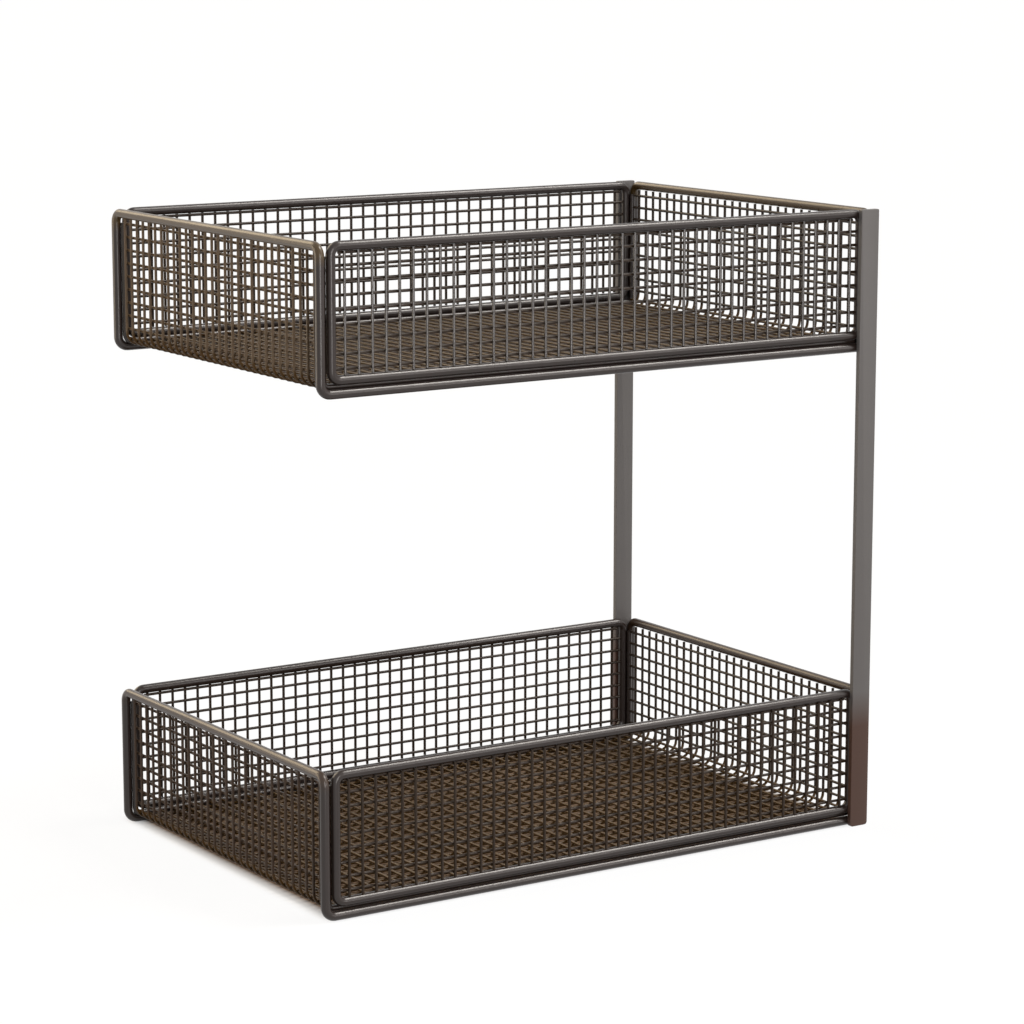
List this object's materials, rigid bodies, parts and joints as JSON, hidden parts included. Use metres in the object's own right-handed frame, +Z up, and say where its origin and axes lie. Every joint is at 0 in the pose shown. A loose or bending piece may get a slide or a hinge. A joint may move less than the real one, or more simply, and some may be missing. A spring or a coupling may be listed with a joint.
{
  "type": "tiered wire basket",
  "caption": "Open two-tier wire basket: equal rectangular mesh baskets, the upper one carried over the lower by flat posts at one end.",
  "frame": {"origin": "centre of the base, on the surface that the basket stands on", "axes": "+Z up, +X along the baskets towards the end with the posts, +Y across them towards the rear side"},
  "size_m": [0.3524, 0.2358, 0.3487],
  "materials": {
    "frame_rod": "satin",
    "loop_rod": "satin",
    "mesh_wire": "satin",
    "post": "satin"
  },
  "bodies": {
    "root": {"lower_saddle_frame": "frame_rod", "lower_front_loop": "loop_rod", "lower_front_upright_wires": "mesh_wire", "lower_front_row_wires": "mesh_wire", "lower_rear_loop": "loop_rod", "lower_rear_upright_wires": "mesh_wire", "lower_rear_row_wires": "mesh_wire", "lower_tray_bow_wires": "mesh_wire", "lower_tray_cross_wires": "mesh_wire", "lower_tray_border_wires": "mesh_wire", "upper_saddle_frame": "frame_rod", "upper_front_loop": "loop_rod", "upper_front_upright_wires": "mesh_wire", "upper_front_row_wires": "mesh_wire", "upper_rear_loop": "loop_rod", "upper_rear_upright_wires": "mesh_wire", "upper_rear_row_wires": "mesh_wire", "upper_tray_bow_wires": "mesh_wire", "upper_tray_cross_wires": "mesh_wire", "upper_tray_border_wires": "mesh_wire", "front_post": "post", "rear_post": "post"}
  },
  "joints": []
}
